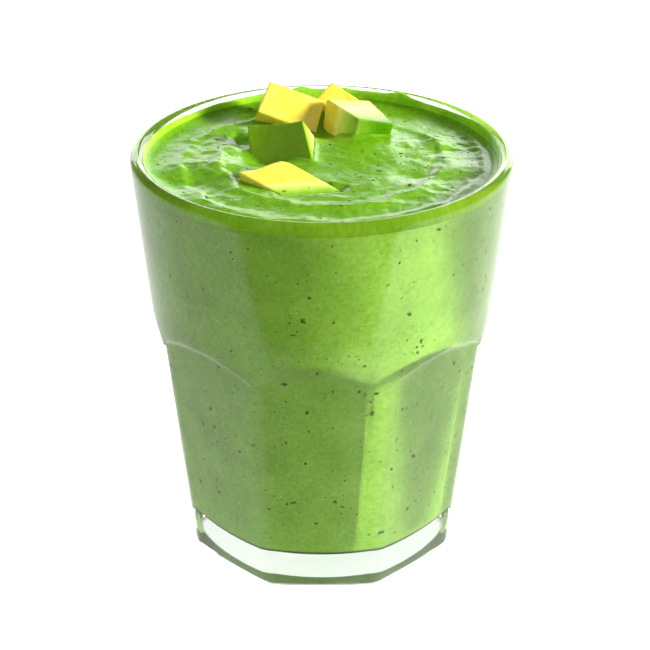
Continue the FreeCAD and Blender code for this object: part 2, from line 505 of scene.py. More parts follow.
@dataclass(frozen=True)
class ClearGlass:
    """Clear pressed glass with the faint ripple that the mould leaves; matt where it is rough."""

    name: str = "clear_pressed_glass"
    tint_clear: str = "fcfefd"
    tint_deep: str = "f6fbf8"
    index: float = 1.5
    ripple: float = 11.0
    ripple_depth: float = 0.02
    roughness: float = 0.0

    def material(self) -> bpy.types.Material:
        """Make the material.

        Returns:
            The finished material.
        """
        recipe = Recipe(self.name)
        recipe.set(Transmission_Weight=1.0, Roughness=self.roughness, IOR=self.index)
        wave = recipe.grain(self.ripple, detail=1.0)
        recipe.paint(recipe.ramp(wave, [(0.3, linear(self.tint_clear)), (0.7, linear(self.tint_deep))]))
        recipe.relief(wave, self.ripple_depth)
        return recipe.material


@dataclass(frozen=True)
class Smoothie:
    """Blended greens: fine pulp in a paler juice."""

    name: str
    juice: str = "72ab1a"
    pulp: str = "669f14"
    pale: str = "80b828"
    roughness: float = 0.2
    shine: float = 0.5
    pulp_size: float = 1.1
    cloud_size: float = 9.0
    relief_size: float = 0.9
    relief_depth: float = 0.1
    cloud: str = "e6ecd8"
    index: float = 1.36
    glow: float = 0.0
    glow_depth: float = 1.5
    glow_reach: tuple[float, float, float] = (0.45, 1.0, 0.1)

    def material(self) -> bpy.types.Material:
        """Make the material.

        Returns:
            The finished material.
        """
        recipe = Recipe(self.name)
        recipe.set(Roughness=self.roughness, Specular_IOR_Level=self.shine, IOR=self.index)
        if self.glow:
            recipe.set(Subsurface_Weight=self.glow, Subsurface_Radius=self.glow_reach)
            recipe.set(Subsurface_Scale=self.glow_depth * MM)
        pulp = recipe.ramp(
            recipe.grain(self.pulp_size, detail=3.0, rough=0.6),
            [(0.32, linear(self.pulp)), (0.5, linear(self.juice)), (0.72, linear(self.pale))],
        )
        clouds = recipe.grain(self.cloud_size)
        cloud = recipe.ramp(clouds, [(0.3, linear(self.cloud)), (0.7, linear(WHITE))])
        recipe.paint(recipe.blend(1.0, pulp, cloud, way="MULTIPLY"))
        recipe.relief(recipe.grain(self.relief_size, detail=2.0), self.relief_depth)
        return recipe.material


@dataclass(frozen=True)
class Speck:
    """Finish of the small things in the drink: bits of leaf, peel, fibre and bubbles."""

    name: str
    dark: str
    light: str
    roughness: float = 0.5
    shine: float = 0.3
    patch: float = 1.4

    def material(self) -> bpy.types.Material:
        """Make the material.

        Returns:
            The finished material.
        """
        recipe = Recipe(self.name)
        recipe.set(Roughness=self.roughness, Specular_IOR_Level=self.shine)
        tone = recipe.grain(self.patch, detail=1.0)
        recipe.paint(recipe.ramp(tone, [(0.35, linear(self.dark)), (0.65, linear(self.light))]))
        return recipe.material


@dataclass(frozen=True)
class AvocadoFlesh:
    """Cut flesh that turns from yellow to green towards the skin side, with a faint painted glow of its own
    colour.
    """

    name: str
    towards_skin: tuple[float, float, float]
    start: float
    width: float
    inside: str = "e9d44a"
    near: str = "ece07c"
    rim: str = "bfe05a"
    skin: str = "5f9c08"
    near_at: float = 0.15
    rim_at: float = 0.45
    skin_at: float = 0.92
    wobble: float = 0.22
    wobble_size: float = 3.5
    mottle: str = "f6f1e4"
    mottle_size: float = 1.1
    mottle_share: float = 0.8
    roughness: float = 0.42
    shine: float = 0.4
    relief_size: float = 0.8
    relief_depth: float = 0.06
    softness: float = 0.25
    soft_depth: float = 1.5
    soft_reach: tuple[float, float, float] = (0.9, 0.85, 0.25)
    glow: float = 0.11  # painted glow: the flesh gives off light of its own colour, standing in for light that soft flesh passes on into its shaded sides

    def run(self, recipe: Recipe) -> Socket:
        """Run of colour from the inside to the skin.

        Args:
            recipe: The material under construction.

        Returns:
            The colour.
        """
        run = recipe.along(Vector(self.towards_skin).normalized(), self.start, self.width)
        around_nought = recipe.figure("SUBTRACT", recipe.grain(self.wobble_size), 0.5)
        wobble = recipe.figure("MULTIPLY", around_nought, self.wobble)
        stops = [
            (0.0, linear(self.inside)),
            (self.near_at, linear(self.near)),
            (self.rim_at, linear(self.rim)),
            (self.skin_at, linear(self.skin)),
        ]
        return recipe.ramp(recipe.figure("ADD", run, wobble), stops)

    def material(self) -> bpy.types.Material:
        """Make the material.

        Returns:
            The finished material.
        """
        recipe = Recipe(self.name)
        recipe.set(Roughness=self.roughness, Specular_IOR_Level=self.shine, Emission_Strength=self.glow)
        recipe.set(Subsurface_Weight=self.softness, Subsurface_Radius=self.soft_reach)
        recipe.set(Subsurface_Scale=self.soft_depth * MM)
        patches = recipe.grain(self.mottle_size, detail=4.0, rough=0.65)
        mottle = recipe.ramp(patches, [(0.3, linear(self.mottle)), (0.65, linear(WHITE))])
        colour = recipe.blend(self.mottle_share, self.run(recipe), mottle, way="MULTIPLY")
        recipe.paint(colour)
        # painted glow: the flesh's own colour given off as light
        recipe.give_off(colour)
        recipe.relief(recipe.grain(self.relief_size, detail=4.0, rough=0.6), self.relief_depth)
        return recipe.material


# ---- tumbler ----------------------------------------------------------------------------------------


@dataclass
class Tumbler:
    """Pressed tumbler: a plain band with a round rim over eight arched, gently bowed panels."""

    sizes: TumblerSizes = SIZES
    half_columns: int = 18
    ridge_crowding: float = 1.45  # how much closer the columns stand near a ridge
    ridge_round: float = 1.8  # half width of the soft edge of a ridge
    arch_round: float = 1.2  # radius of the soft edge of an arch
    arch_melt: int = 16  # steps of smoothing round the arches
    foot_round: float = 0.35  # soft edge at the foot
    frosted_radius: float = 21.5  # the mould leaves the hollow under the foot matt
    scoop_share: float = 0.9  # greatest scoop and soft edge of an arch, against its depth
    soft_share: float = 0.45
    cusp: float = 1.5  # degrees from a ridge within which two arches run together
    column_ease: float = 0.25  # share of the band over which the columns even out
    melt_below: tuple[float, float] = (9.0, 6.0)  # how far down the smoothing reaches, and its soft end
    melt_above: tuple[float, float] = (8.0, 5.0)
    melt_from_bore: float = 1.5
    arch_steps: int = 40  # steps in which a column's place on the arch settles

    def angles(self) -> tuple[np.ndarray, np.ndarray]:
        """Angles of the columns of points.

        Returns:
            The middle of each column's panel and the column's angle from it, in radians.
        """
        half = self.sizes.half_panel
        share = np.arange(1, self.half_columns + 1) / self.half_columns
        side = half * (1 - (1 - share) ** self.ridge_crowding)
        within = np.concatenate([-side[-2::-1], [0.0], side])
        middles = -math.pi / 2 + np.arange(self.sizes.panels) * 2 * half
        return np.repeat(middles, len(within)), np.tile(within, self.sizes.panels)

    def panel_front(self, w: np.ndarray, z: np.ndarray) -> np.ndarray:
        """How far a panel's surface stands from the axis.

        Args:
            w: Places to the side of the panel's middle.
            z: Heights.

        Returns:
            Distances along the panel's own middle direction.
        """
        s = self.sizes
        half_width = s.ridge_radius(0.0) * math.sin(s.half_panel)
        bow_radius = (half_width**2 + s.panel_bow**2) / (2 * s.panel_bow)
        front = s.panel_radius(z) - w**2 / (2 * bow_radius)
        to_ridge = front * math.tan(s.half_panel) - np.abs(w)
        near = np.clip(self.ridge_round - to_ridge, 0.0, None)
        return front - math.tan(s.half_panel) * near**2 / (2 * self.ridge_round)

    def band_front(self, w: np.ndarray, z: np.ndarray) -> np.ndarray:
        """Distance of the plain band along a panel's middle direction."""
        return np.sqrt(self.sizes.band_radius(z) ** 2 - w**2)

    def arch_line(self, side: np.ndarray) -> tuple[np.ndarray, ...]:
        """Where each column meets the outline of the arch.

        Args:
            side: Angles from the panel's middle, all positive.

        Returns:
            Place to the side, height, and the direction into the panel along both.
        """
        s = self.sizes
        half_width = s.band_radius(s.arch_foot) * math.sin(s.half_panel) + s.arch_overlap
        inward = half_width - s.arch_shoulder
        crown = (inward**2 + s.arch_rise**2 - s.arch_shoulder**2) / (2 * (s.arch_rise - s.arch_shoulder))
        crown_middle = s.arch_foot + s.arch_rise - crown
        tangent = inward * crown / (crown - s.arch_shoulder)
        z = np.full_like(side, s.arch_foot + s.arch_rise)
        for _ in range(self.arch_steps):
            w = s.band_radius(z) * np.sin(side)
            on_crown = crown_middle + np.sqrt(crown**2 - w**2)
            over = np.clip(np.abs(w) - inward, 0.0, s.arch_shoulder)
            on_shoulder = s.arch_foot + np.sqrt(s.arch_shoulder**2 - over**2)
            z = np.where(w < tangent, on_crown, on_shoulder)
        to_w = np.where(w < tangent, -w, inward - w)
        to_z = np.where(w < tangent, crown_middle - z, s.arch_foot - z)
        # at a ridge two arches meet, and the way into both is straight down
        to_w = to_w * np.clip((s.half_panel - side) / math.radians(self.cusp), 0.0, 1.0)
        length = np.hypot(to_w, to_z)
        return w, z, to_w / length, to_z / length

    def panel_rings(self, side: np.ndarray) -> list[Ring]:
        """Rings of points up the panels, round their arches and onto the band, from the foot up.

        Args:
            side: Angles from the panel's middle, all positive.

        Returns:
            For each ring the distance to the front, the place to the side and the height.
        """
        s = self.sizes
        wa, za, nw, nz = self.arch_line(side)
        depth = self.band_front(wa, za) - self.panel_front(wa, za)
        hollow = np.minimum(s.scoop, self.scoop_share * depth)
        soft = np.minimum(self.arch_round, self.soft_share * depth)
        at_ridge = side > s.half_panel - 1e-6
        rings = []

        def on_panel(w: np.ndarray, z: np.ndarray) -> tuple[np.ndarray, np.ndarray]:
            """Keep the points of a ridge on it.

            Args:
                w: Places to the side of the panel's middle.
                z: Heights.

            Returns:
                Distances to the front and places to the side.
            """
            for _ in range(3):
                front = self.panel_front(w, z)
                w = np.where(at_ridge, front * math.tan(s.half_panel), w)
            return front, w

        shares = np.concatenate([[0.0, 0.012], np.linspace(0.04, 0.94, 26), [0.97, 0.988]])
        z0 = np.full_like(side, s.chamfer_height)
        w0 = s.panel_radius(z0) * np.tan(side)
        for _ in range(3):
            w0 = self.panel_front(w0, z0) * np.tan(side)
        w1, z1 = wa + nw * hollow, za + nz * hollow
        for share in shares:
            z = z0 + (z1 - z0) * share
            front, w = on_panel(w0 + (w1 - w0) * share, z)
            rings.append((front, w, z))
        for turn in np.linspace(0.0, math.pi / 2, 8):
            away = hollow * (1 - math.sin(turn))
            w, z = wa + nw * away, za + nz * away
            front, w = on_panel(w, z)
            rings.append((front + hollow * (1 - math.cos(turn)), w, z))
        for turn in np.linspace(0.0, math.pi / 2, 7):
            away = -soft * (1 - math.cos(turn))
            w, z = wa + nw * away, za + nz * away
            rings.append((self.band_front(w, z) - soft * (1 - math.sin(turn)), w, z))
        return rings

    def outer_rings(self, within: np.ndarray) -> list[Ring]:
        """Rings of the outside, from the foot up.

        Args:
            within: Angle of each column from its panel's middle.

        Returns:
            For each ring the radius, the angle from the panel's middle and the height.
        """
        s = self.sizes
        side, hand = np.abs(within), np.sign(within)
        rings = []
        for front, w, z in self.panel_rings(side):
            rings.append((np.hypot(front, w), hand * np.arctan2(w, front), z))
        last_angle, last_z = rings[-1][1], rings[-1][2]
        for share in np.concatenate([np.linspace(0.015, 0.3, 10), np.linspace(0.36, 1.0, 14)]):
            z = last_z + (s.roll_height - last_z) * share
            ease = min(1.0, share / self.column_ease)
            rings.append((s.band_radius(z), last_angle + (within - last_angle) * ease, z))
        return rings

    def foot_rings(self, within: np.ndarray) -> list[Ring]:
        """Rings of the underside, from the middle out to the slanted edge of the panels.

        Args:
            within: Angle of each column from its panel's middle.

        Returns:
            For each ring the radius, the angle from the panel's middle and the height.
        """
        s = self.sizes
        side = np.abs(within)
        flat = np.zeros_like(side)
        ball = (s.dimple_radius**2 + s.dimple_depth**2) / (2 * s.dimple_depth)
        rings = []
        for share in (0.0, 0.15, 0.35, 0.55, 0.75, 0.9, 0.97, 1.0):
            radius = s.dimple_radius * share
            rise = math.sqrt(ball**2 - radius**2) - (ball - s.dimple_depth)
            rings.append((flat + radius, within, flat + rise))

        def at_foot(inset: float, height: float) -> Ring:
            """Ring along the foot of the panels.

            Args:
                inset: How far it lies inside them.
                height: Its height.

            Returns:
                The radius, the angle from the panel's middle and the height.
            """
            front = self.panel_front(flat, flat)
            for _ in range(3):
                front = self.panel_front(front * np.tan(side), flat) - inset
            return front / np.cos(side), within, flat + height

        edge = at_foot(s.chamfer_width + self.foot_round, 0.0)
        for share in (0.06, 0.3, 0.6, 0.9, 0.98):
            radius = s.dimple_radius + (edge[0] - s.dimple_radius) * share
            rings.append((radius, within, flat))
        rings.append(edge)
        for turn in (30.0, 60.0):
            bend = math.radians(turn)
            inset = s.chamfer_width + self.foot_round * (1 - math.sin(bend)) * 0.8
            rings.append(at_foot(inset, self.foot_round * (1 - math.cos(bend)) * 0.6))
        for share in (0.2, 0.5, 0.8):
            rings.append(at_foot(s.chamfer_width * (1 - share), s.chamfer_height * share))
        return rings

    def inner_rings(self, within: np.ndarray) -> list[Ring]:
        """Rings over the round rim, down the bore and to the middle of the floor.

        Args:
            within: Angle of each column from its panel's middle.

        Returns:
            For each ring the radius, the angle from the panel's middle and the height.
        """
        s = self.sizes
        flat = np.zeros_like(within)
        rings = []
        for turn in np.linspace(0.0, math.pi, 21)[1:]:
            radius = s.rim_radius - s.roll + s.roll * math.cos(turn)
            rings.append((flat + radius, within, flat + s.roll_height + s.roll * math.sin(turn)))
        for radius, height in bore_profile(s, s.roll_height, 0.0)[1:]:
            rings.append((flat + radius, within, flat + height))
        return rings

    def build(self) -> bpy.types.Object:
        """Model and dress the tumbler.

        Returns:
            The finished piece.
        """
        middles, within = self.angles()
        rings = self.foot_rings(within) + self.outer_rings(within) + self.inner_rings(within)
        stations = [
            np.stack([radius * np.cos(middles + angle), radius * np.sin(middles + angle), z], axis=-1)
            for radius, angle, z in rings
        ]
        obj = rolled("pressed_tumbler", np.array(stations))
        self.dress(obj)
        self.soften_arches(obj)
        obj.cycles.is_caustics_caster = True
        hand_over(obj, Slot.GLASS, "tumbler")
        return obj

    def dress(self, obj: bpy.types.Object) -> None:
        """Make the glass clear, and matt in the hollow under the foot.

        Args:
            obj: The modelled tumbler.
        """
        obj.data.materials.append(ClearGlass().material())
        obj.data.materials.append(ClearGlass("frosted_recess", roughness=0.9).material())
        for face in obj.data.polygons:
            low = face.center.z < (self.sizes.dimple_depth + 0.1) * MM
            face.material_index = int(low and face.center.xy.length < self.frosted_radius * MM)

    def soften_arches(self, obj: bpy.types.Object) -> None:
        """Let the arches and the tops of the ridges run together, as fire-polished glass does.

        Args:
            obj: The modelled tumbler.
        """
        s = self.sizes
        points = read_points(obj.data) / MM
        (below, below_soft), (above, above_soft) = self.melt_below, self.melt_above
        low = np.clip((points[:, 2] - (s.arch_foot - below)) / below_soft, 0.0, 1.0)
        high = np.clip((s.arch_foot + s.arch_rise + above - points[:, 2]) / above_soft, 0.0, 1.0)
        outside = np.hypot(points[:, 0], points[:, 1]) > s.bore_radius(points[:, 2]) + self.melt_from_bore
        weights = low * high * outside
        group = obj.vertex_groups.new(name="arches")
        for index in np.flatnonzero(weights > 0):
            group.add([int(index)], float(weights[index]), "REPLACE")
        take(obj)
        smooth = obj.modifiers.new("soft_arches", "SMOOTH")
        smooth.vertex_group = group.name
        smooth.factor = 0.5
        smooth.iterations = self.arch_melt
        bpy.ops.object.modifier_apply(modifier=smooth.name)


def bore_profile(s: TumblerSizes, top: float, outward: float) -> list[tuple[float, float]]:
    """Outline of the bore from a height down to the middle of the floor.

    Args:
        s: Sizes of the tumbler.
        top: Height of the first point.
        outward: How far the outline reaches into the glass.

    Returns:
        Pairs of radius and height.
    """
    lean = math.atan(s.bore_slope)
    corner_height = s.floor + s.bore_corner
    corner_radius = s.bore_radius(corner_height) - s.bore_corner / math.cos(lean)
    size = s.bore_corner + outward
    wall_foot = corner_height - s.bore_corner * math.sin(lean)
    points = []
    for height in np.linspace(top, wall_foot, 22)[:-1]:
        points.append((s.bore_radius(height) + outward, float(height)))
    for turn in np.linspace(lean, math.pi / 2, 10):
        points.append((corner_radius + size * math.cos(turn), corner_height - size * math.sin(turn)))
    for share in (0.75, 0.45, 0.2, 0.0):
        points.append((corner_radius * share, s.floor - outward))
    return points


# ---- drink ------------------------------------------------------------------------------------------


@dataclass(frozen=True)
class Mound:
    """A round hill of the drink, or a hollow where the height is negative."""

    share: tuple[float, float]
    size: float
    height: float


@dataclass(frozen=True)
class Lumps:
    """One layer of uneven lumps: their size and height, and a number that picks their pattern."""

    size: float
    height: float
    layer: float

    def at(self, x: np.ndarray, y: np.ndarray) -> np.ndarray:
        """Height of the lumps at each place."""
        return self.height * blurred(x, y, self.size, self.layer)


@dataclass
class DrinkSurface:
    """Height of the drink: the poured spiral, its hills and hollows, and torn and smooth patches."""

    sizes: TumblerSizes = SIZES
    meniscus_rise: float = 0.9
    meniscus_width: float = 1.6
    swirl_ridge: float = 0.6
    swirl_margin: float = 2.0
    swirl_pitch: float = 9.5
    swirl_outside: float = 3.0  # the ridge falls away gently towards the wall
    swirl_inside: float = 1.3  # and steeply towards the middle
    swirl_turns: int = 2
    swirl_angle: float = 30.0
    swirl_fade: float = 0.15  # share of a turn over which it ends
    swirl_behind: float = 0.7  # how much lower it is at the back
    bend_x: tuple[Lumps, Lumps] = (Lumps(7.0, 1.6, 3.1), Lumps(2.4, 0.5, 8.3))
    bend_y: tuple[Lumps, Lumps] = (Lumps(7.0, 1.6, 5.7), Lumps(2.4, 0.5, 1.9))
    everywhere: tuple[Lumps, Lumps] = (Lumps(9.0, 0.16, 21.0), Lumps(4.2, 0.10, 24.0))
    between: Lumps = Lumps(2.0, 0.05, 27.0)
    in_torn: tuple[Lumps, Lumps] = (Lumps(3.1, 0.54, 11.2), Lumps(1.4, 0.221, 14.8))
    least_torn: float = 0.15
    strength: float = 0.75
    strength_lost_behind: float = 0.3
    mounds: tuple[Mound, ...] = (
        Mound((-0.60, -0.08), 6.5, 1.3),
        Mound((-0.77, -0.34), 5.5, -0.9),
        Mound((-0.47, 0.34), 3.2, -2.6),
        Mound((-0.35, 0.12), 5.2, -3.6),
        Mound((-0.43, 0.80), 3.6, -1.8),
        Mound((0.03, 0.50), 4.2, -3.2),
        Mound((0.25, 0.24), 9.0, 1.4),
        Mound((0.67, 0.30), 4.5, 0.6),
        Mound((0.82, -0.10), 4.0, 0.5),
        Mound((0.50, -0.22), 4.0, -0.4),
    )
    torn: tuple[Mound, ...] = (
        Mound((-0.62, -0.02), 6.0, 1.0),
        Mound((-0.70, 0.28), 5.0, 0.6),
        Mound((-0.35, 0.45), 5.0, 0.7),
        Mound((0.72, 0.22), 7.5, 0.6),
        Mound((0.35, 0.35), 6.0, 0.35),
        Mound((0.55, -0.35), 6.0, 0.3),
        Mound((-0.45, -0.50), 7.0, 0.3),
        Mound((0.10, -0.62), 8.0, 0.25),
    )

    def hills(self, x: np.ndarray, y: np.ndarray, hills: tuple[Mound, ...]) -> np.ndarray:
        """Sum of round hills.

        Args:
            x: Places along X.
            y: Places along Y.
            hills: The hills, placed by shares of the surface's radius.

        Returns:
            The sum at each place.
        """
        reach = self.sizes.reach
        total = np.zeros_like(x)
        for hill in hills:
            away = (x - hill.share[0] * reach) ** 2 + (y - hill.share[1] * reach) ** 2
            total += hill.height * np.exp(-away / hill.size**2)
        return total

    def spiral(self, x: np.ndarray, y: np.ndarray) -> np.ndarray:
        """Height of the spiral ridge.

        Args:
            x: Places along X.
            y: Places along Y.

        Returns:
            The height at each place.
        """
        radius = np.hypot(x, y)
        around = (np.arctan2(y, x) - math.radians(self.swirl_angle)) % (2 * math.pi)
        total = np.zeros_like(x)
        for turn in range(self.swirl_turns + 1):
            progress = turn + 1 - around / (2 * math.pi)
            away = radius - (self.sizes.reach - self.swirl_margin - self.swirl_pitch * progress)
            width = np.where(away > 0, self.swirl_outside, self.swirl_inside)
            ridge = self.swirl_ridge * np.exp(-((away / width) ** 2))
            fade = np.clip((self.swirl_turns - progress) / self.swirl_fade, 0.0, 1.0)
            behind = np.clip(y / self.sizes.reach, 0.0, 1.0)
            total += ridge * fade * (1.0 - self.swirl_behind * behind)
        return total

    def height(self, x: np.ndarray, y: np.ndarray) -> np.ndarray:
        """Height of the drink at places in millimetres.

        Args:
            x: Places along X.
            y: Places along Y.

        Returns:
            The height above the foot at each place.
        """
        s = self.sizes
        from_wall = np.clip(s.reach - np.hypot(x, y), 0.0, None)
        bent_x = x + sum(lumps.at(x, y) for lumps in self.bend_x)
        bent_y = y + sum(lumps.at(x, y) for lumps in self.bend_y)
        torn = self.least_torn + np.clip(self.hills(x, y, self.torn), 0.0, 1.0)
        relief = self.spiral(bent_x, bent_y) + self.hills(bent_x, bent_y, self.mounds)
        relief += sum(lumps.at(x, y) for lumps in self.everywhere)
        relief += (1.0 + torn) * self.between.at(x, y)
        relief += torn * sum(lumps.at(x, y) for lumps in self.in_torn)
        fade = 1.0 - np.exp(-((from_wall / (2 * self.meniscus_width)) ** 2))
        meniscus = self.meniscus_rise * np.exp(-from_wall / self.meniscus_width)
        calm = self.strength - self.strength_lost_behind * np.clip(y / s.reach, 0.0, 1.0)
        return s.level + meniscus + relief * fade * calm


OPEN_DRINK = Smoothie("smoothie_surface", roughness=0.21, relief_depth=0.05, glow=0.15)
# the drink against the glass: no sheen where it touches the glass, and colours painted lighter than the
# open surface's as painted light
DRINK_AT_GLASS_PAINTED_LIGHTER = Smoothie(
    "smoothie_at_glass_painted_lighter",
    juice="9ece4f",
    pulp="93c444",
    pale="a9d65c",
    roughness=0.7,
    shine=0.0,
    relief_depth=0.02,
    glow=0.15,
)
# painted shade: a darker copy of the drink for its underside
DRINK_UNDERSIDE_PAINTED_SHADE = replace(
    DRINK_AT_GLASS_PAINTED_LIGHTER, name="smoothie_underside_painted_shade", juice="596f42", pulp="50663a", pale="64794c", glow=0.0
)
OPEN_FILM = Smoothie(
    "smoothie_film",
    juice="93c62e",
    pulp="88bc24",
    pale="a2d040",
    pulp_size=1.6,
    relief_depth=0.03,
    glow=0.3,
)
FILM_AT_GLASS = replace(
    DRINK_AT_GLASS_PAINTED_LIGHTER, name="film_at_glass", juice="a8de30", pulp="9cd42a", pale="b6e64a", glow=0.3
)


@dataclass(frozen=True)
class Lobe:
    """A stretch of the film that stands higher, or lower: where it is, its width and its height."""

    angle: float  # degrees round the axis
    width: float
    height: float


@dataclass
class Drink:
    """The smoothie: its body and the film it leaves on the glass."""

    sizes: TumblerSizes = SIZES
    surface: DrinkSurface = field(default_factory=DrinkSurface)
    into_wall: float = 0.15
    grid: int = 176
    wall_top: float = 1.0  # below the level, where the surface turns down the bore
    at_glass_top: float = 2.5  # below the level, where the drink counts as lying against the glass
    underside: float = 1.5  # height of the strip that shows the drink from below, painted darker as shade
    cling_rise: float = 0.55  # the drink climbs the avocado
    cling_width: float = 0.7
    cling_reach: float = 3.0
    shore_depth: float = 0.3  # and stays below the top of a piece that lies in it
    shore_slope: float = 0.5
    shore_reach: float = 4.0
    film_columns: int = 400
    film_rows: int = 15
    film_top: float = 2.8  # along the glass, up from the level
    film_foot: float = -0.4
    film_depth: float = 0.28
    film_into_wall: float = 0.12
    film_ragged: tuple[Lumps, Lumps] = (Lumps(3.0, 0.25, 2.0), Lumps(3.0, 0.16, 6.0))
    film_rounds: tuple[float, float] = (9.0, 30.0)  # larger numbers give more lumps in a turn
    film_lobes: tuple[Lobe, ...] = (
        Lobe(62.0, 3.5, 1.1),
        Lobe(84.0, 5.0, 0.7),
        Lobe(97.0, 3.0, 0.9),
        Lobe(140.0, 26.0, -0.7),
        Lobe(44.0, 12.0, -0.5),
    )
    film_lumps: Lumps = Lumps(6.0, 0.15, 9.0)
    film_lump_round: float = 26.0

    def body(self, avocado: list[str]) -> bpy.types.Object:
        """The body of the drink, which reaches just into the wall of the glass.

        Args:
            avocado: Solids that stand in the drink.

        Returns:
            The finished piece.
        """
        s = self.sizes
        unselect()
        bpy.ops.mesh.primitive_grid_add(x_subdivisions=self.grid, y_subdivisions=self.grid, size=2.0)
        obj = bpy.context.object
        obj.name = obj.data.name = "smoothie_body"
        square = read_points(obj.data)
        radius = s.reach + self.into_wall
        x = radius * square[:, 0] * np.sqrt(1 - square[:, 1] ** 2 / 2)
        y = radius * square[:, 1] * np.sqrt(1 - square[:, 0] ** 2 / 2)
        standing = [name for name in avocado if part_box(name)[1][2] > s.height * MM]
        z = self.surface.height(x, y) + self.cling(x, y, standing)
        for name in avocado:
            if name not in standing:
                z = np.minimum(z, self.shore(x, y, name))
        write_points(obj.data, np.c_[x, y, z] * MM)
        self.add_wall(obj, radius)
        close_up(obj)
        self.dress(obj)
        obj.cycles.is_caustics_receiver = True
        hand_over(obj, Slot.DRINK, "smoothie")
        return obj

    def add_wall(self, obj: bpy.types.Object, radius: float) -> None:
        """Draw the rim of the surface down the bore and close it in the middle of the floor.

        Args:
            obj: The surface.
            radius: Radius of its rim.
        """
        s = self.sizes
        take(obj)
        bpy.ops.object.mode_set(mode="EDIT")
        bpy.ops.mesh.select_all(action="DESELECT")
        bpy.ops.mesh.select_mode(type="EDGE")
        bpy.ops.mesh.select_non_manifold()
        height = s.level + self.surface.meniscus_rise
        for next_radius, next_height in bore_profile(s, s.level - self.wall_top, self.into_wall)[:-1]:
            step = (0.0, 0.0, (next_height - height) * MM)
            bpy.ops.mesh.extrude_region_move(TRANSFORM_OT_translate={"value": step})
            share = next_radius / radius
            bpy.ops.transform.resize(value=(share, share, 1.0), center_override=(0.0, 0.0, 0.0))
            radius, height = next_radius, next_height
        bpy.ops.mesh.extrude_region_move()
        bpy.ops.mesh.merge(type="CENTER")
        bpy.ops.object.mode_set(mode="OBJECT")

    def cling(self, x: np.ndarray, y: np.ndarray, avocado: list[str]) -> np.ndarray:
        """How far the drink climbs the pieces that stand in it.

        Args:
            x: Places along X.
            y: Places along Y.
            avocado: Solids that stand in the drink.

        Returns:
            The rise at each place.
        """
        rise = np.zeros_like(x)
        for name in avocado:
            tree = shape_of(name)
            for index, (a, b) in enumerate(zip(x, y)):
                place = Vector((a, b, self.sizes.level)) * MM
                hit = tree.find_nearest(place, self.cling_reach * MM)
                if hit[0] is not None:
                    gap = hit[3] / MM
                    rise[index] = max(rise[index], self.cling_rise * math.exp(-gap / self.cling_width))
        return rise

    def shore(self, x: np.ndarray, y: np.ndarray, name: str) -> np.ndarray:
        """Greatest height of the drink round a piece that lies in it, so that its top stays bare.

        Args:
            x: Places along X.
            y: Places along Y.
            name: The solid.

        Returns:
            The height at each place, without limit far from the piece.
        """
        tree = shape_of(name)
        limit = np.full_like(x, np.inf)
        for index, (a, b) in enumerate(zip(x, y)):
            above = Vector((a, b, self.sizes.level + 5.0)) * MM
            hit = tree.ray_cast(above, Vector((0.0, 0.0, -1.0)))[0]
            if hit is not None:
                limit[index] = hit.z / MM - self.shore_depth
                continue
            place = Vector((a, b, self.sizes.level + 0.5)) * MM
            near = tree.find_nearest(place, self.shore_reach * MM)[0]
            if near is not None:
                away = (near.xy - place.xy).length / MM
                limit[index] = near.z / MM - self.shore_depth + self.shore_slope * away
        return limit

    def dress(self, obj: bpy.types.Object) -> None:
        """Give the open surface a wet finish, and what lies against the glass plain ones, painted lighter;
        the bottom is painted darker as shade.

        Args:
            obj: The body of the drink.
        """
        for finish in (OPEN_DRINK, DRINK_AT_GLASS_PAINTED_LIGHTER, DRINK_UNDERSIDE_PAINTED_SHADE):
            obj.data.materials.append(finish.material())
        foot = (self.sizes.level - self.at_glass_top) * MM
        edge = (self.sizes.reach - 0.02) * MM
        floor = (self.sizes.floor + self.underside) * MM
        for face in obj.data.polygons:
            low = face.center.z < foot or face.center.xy.length > edge
            # faces against the glass take the copy painted lighter, and those of the bottom strip the copy
            # painted darker as shade
            face.material_index = int(low) + int(face.center.z < floor)

    def film_height(self, turn: np.ndarray) -> np.ndarray:
        """How far up the glass the film reaches.

        Args:
            turn: Angles round the axis.

        Returns:
            Distances up the wall from the drink's level.
        """
        top = np.full_like(turn, self.film_top)
        for lumps, size in zip(self.film_ragged, self.film_rounds):
            top += lumps.at(size * np.cos(turn), size * np.sin(turn))
        for lobe in self.film_lobes:
            gap = (np.degrees(turn) - lobe.angle + 180) % 360 - 180
            top += lobe.height * np.exp(-((gap / lobe.width) ** 2))
        return top

    def film(self) -> bpy.types.Object:
        """Make the thin uneven film that the drink leaves on the inside of the rim.

        Returns:
            The finished piece.
        """
        turn = np.arange(self.film_columns) * 2 * math.pi / self.film_columns
        top = self.film_height(turn)
        size = self.film_lump_round
        lumps = 1 + self.film_lumps.at(size * np.cos(turn), size * np.sin(turn))
        rings = []
        shares = np.linspace(0.0, 1.0, self.film_rows)
        for share in shares:
            along = self.film_foot + (top - self.film_foot) * share
            depth = self.film_depth * lumps * np.sqrt(np.clip(1.0 - share**5, 0.0, 1.0))
            rings.append(self.on_wall(turn, along, depth * min(1.0, share * 6)))
        for share in shares[::-1]:
            along = self.film_foot + (top - self.film_foot) * share
            rings.append(self.on_wall(turn, along, np.full_like(turn, -self.film_into_wall)))
        rings.append(rings[0])
        obj = rolled("smoothie_film", np.array(rings))
        for finish in (OPEN_FILM, FILM_AT_GLASS):
            obj.data.materials.append(finish.material())
        for face in obj.data.polygons:
            face.material_index = int(face.normal.xy.dot(face.center.xy) > 0.0)
        hand_over(obj, Slot.DRINK)
        return obj

